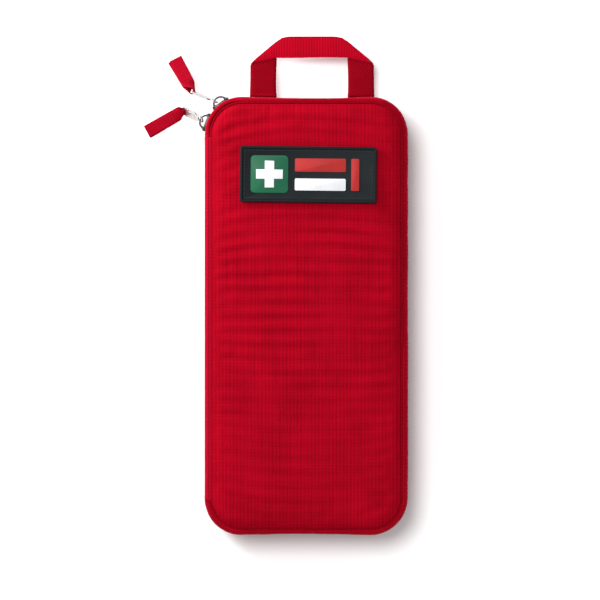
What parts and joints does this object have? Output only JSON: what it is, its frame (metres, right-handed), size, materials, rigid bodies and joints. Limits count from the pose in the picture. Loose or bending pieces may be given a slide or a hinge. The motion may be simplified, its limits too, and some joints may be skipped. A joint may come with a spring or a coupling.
{
  "type": "first aid kit",
  "caption": "Soft tall zip-round first aid kit that opens like a book, with a webbing carry handle, a rubber cross patch, zip pullers and packed dressings inside.",
  "frame": {"origin": "centre of the flat back face, which rests on the ground when the kit lies on its back", "axes": "+X to the kit's right as the front is read, +Y towards the carry handle, +Z out of the front"},
  "size_m": [0.1985, 0.374, 0.0642],
  "materials": {
    "ripstop_red": "ripstop weave, matt",
    "piping_red": "corded piping",
    "zip_tape_red": "woven tape",
    "coil_red": "nylon coil",
    "webbing_red": "ribbed webbing",
    "board_ivory": "plain sheet",
    "lining_charcoal": "plain weave",
    "elastic_black": "woven elastic",
    "mesh_charcoal": "net",
    "loop_pile_red": "loop pile",
    "hook_black": "hook tape",
    "patch_rubber": "moulded, satin",
    "patch_green": "moulded, satin",
    "patch_white": "moulded, satin",
    "patch_red": "moulded, satin",
    "gunmetal": "dark plated",
    "nickel": "plated, satin",
    "steel": "brushed",
    "gauze_white": "open weave",
    "crepe_tan": "crepe weave",
    "paper_white": "sealed paper pouch",
    "pouch_blue": "printed film pouch",
    "foil_silver": "crumpled foil",
    "card_tan": "carton",
    "ampoule_clear": "translucent",
    "booklet_paper": "coated paper"
  },
  "bodies": {
    "base": {"back_panel": "ripstop_red", "back_piping": "piping_red", "back_board": "board_ivory", "back_lining": "lining_charcoal", "back_gusset": "ripstop_red", "zip_tape_back": "zip_tape_red", "zip_coil_back": "coil_red", "zip_end_stops": "nickel", "handle_anchors": "webbing_red", "compartment_dividers": "lining_charcoal", "elastic_straps": "elastic_black", "conforming_bandage_left": "gauze_white", "conforming_bandage_right": "gauze_white", "crepe_bandage": "crepe_tan", "saline_ampoules": "ampoule_clear", "wound_dressing_pack": "paper_white", "triangular_bandage_pack": "paper_white", "glove_pack": "pouch_blue", "foil_blanket_pack": "foil_silver", "plaster_box": "card_tan", "tape_roll": "gauze_white", "antiseptic_wipes": "paper_white"},
    "spine": {"spine_panel": "ripstop_red", "spine_stiffener": "board_ivory"},
    "cover": {"front_panel": "ripstop_red", "front_piping": "piping_red", "front_board": "board_ivory", "front_lining": "lining_charcoal", "front_gusset": "ripstop_red", "zip_tape_front": "zip_tape_red", "zip_coil_front": "coil_red", "patch_loop_field": "loop_pile_red", "mesh_pocket": "mesh_charcoal", "pocket_binding": "piping_red", "first_aid_booklet": "booklet_paper", "face_shield_pouch": "pouch_blue", "tool_loops": "elastic_black", "tweezers": "steel", "shears_fixed_half": "steel", "shears_rivet": "nickel", "patch_hook_backing": "hook_black", "patch_base": "patch_rubber", "patch_green_field": "patch_green", "patch_white_cross": "patch_white", "patch_white_bar": "patch_white", "patch_red_bars": "patch_red"},
    "shears_blade": {"shears_moving_half": "steel"},
    "handle": {"handle_webbing": "webbing_red"},
    "upper_slider": {"upper_slider_body": "gunmetal", "upper_slider_bridge": "gunmetal"},
    "upper_puller": {"upper_puller_tongue": "nickel"},
    "upper_tab": {"upper_pull_tab": "ripstop_red"},
    "lower_slider": {"lower_slider_body": "gunmetal", "lower_slider_bridge": "gunmetal"},
    "lower_puller": {"lower_puller_tongue": "nickel"},
    "lower_tab": {"lower_pull_tab": "ripstop_red"}
  },
  "joints": [
    {"name": "spine_fold", "type": "hinge", "parent": "base", "child": "spine", "pos_m": [-0.075, 0, 0.003], "axis": [0, -1, 0], "range_deg": [0, 87]},
    {"name": "cover_fold", "type": "hinge", "parent": "spine", "child": "cover", "pos_m": [-0.075, 0, 0.057], "axis": [0, -1, 0], "range_deg": [0, 87]},
    {"name": "shears_pivot", "type": "hinge", "parent": "cover", "child": "shears_blade", "pos_m": [-0.034, 0.084, 0.0474], "axis": [0, 0, 1], "range_deg": [0, 18]},
    {"name": "handle_swing", "type": "hinge", "parent": "base", "child": "handle", "pos_m": [0.0044, 0.1654, 0.016], "axis": [1, 0, 0], "range_deg": [-15, 85]},
    {"name": "upper_slider_travel", "type": "hinge", "parent": "base", "child": "upper_slider", "pos_m": [-0.048, 0.136, 0.03], "axis": [0, 0, 1], "range_deg": [-26, 0]},
    {"name": "upper_puller_swing", "type": "hinge", "parent": "upper_slider", "child": "upper_puller", "pos_m": [-0.06413, 0.15904, 0.03], "axis": [0, 0, -1], "range_deg": [-3, 62]},
    {"name": "upper_tab_swing", "type": "hinge", "parent": "upper_puller", "child": "upper_tab", "pos_m": [-0.08545, 0.16809, 0.02519], "axis": [-0.3025, -0.0603, 0.9513], "range_deg": [-20, 20]},
    {"name": "lower_slider_travel", "type": "hinge", "parent": "base", "child": "lower_slider", "pos_m": [-0.048, 0.136, 0.03], "axis": [0, 0, -1], "range_deg": [0, 5]},
    {"name": "lower_puller_swing", "type": "hinge", "parent": "lower_slider", "child": "lower_puller", "pos_m": [-0.07459, 0.14516, 0.03], "axis": [0, 0, -1], "range_deg": [-38, 26]},
    {"name": "lower_tab_swing", "type": "hinge", "parent": "lower_puller", "child": "lower_tab", "pos_m": [-0.09192, 0.15398, 0.01804], "axis": [0.1469, -0.7963, -0.5868], "range_deg": [-20, 18]}
  ],
  "couplings": [
    {"joint": "cover_fold", "follows": "spine_fold", "ratio": 1}
  ]
}
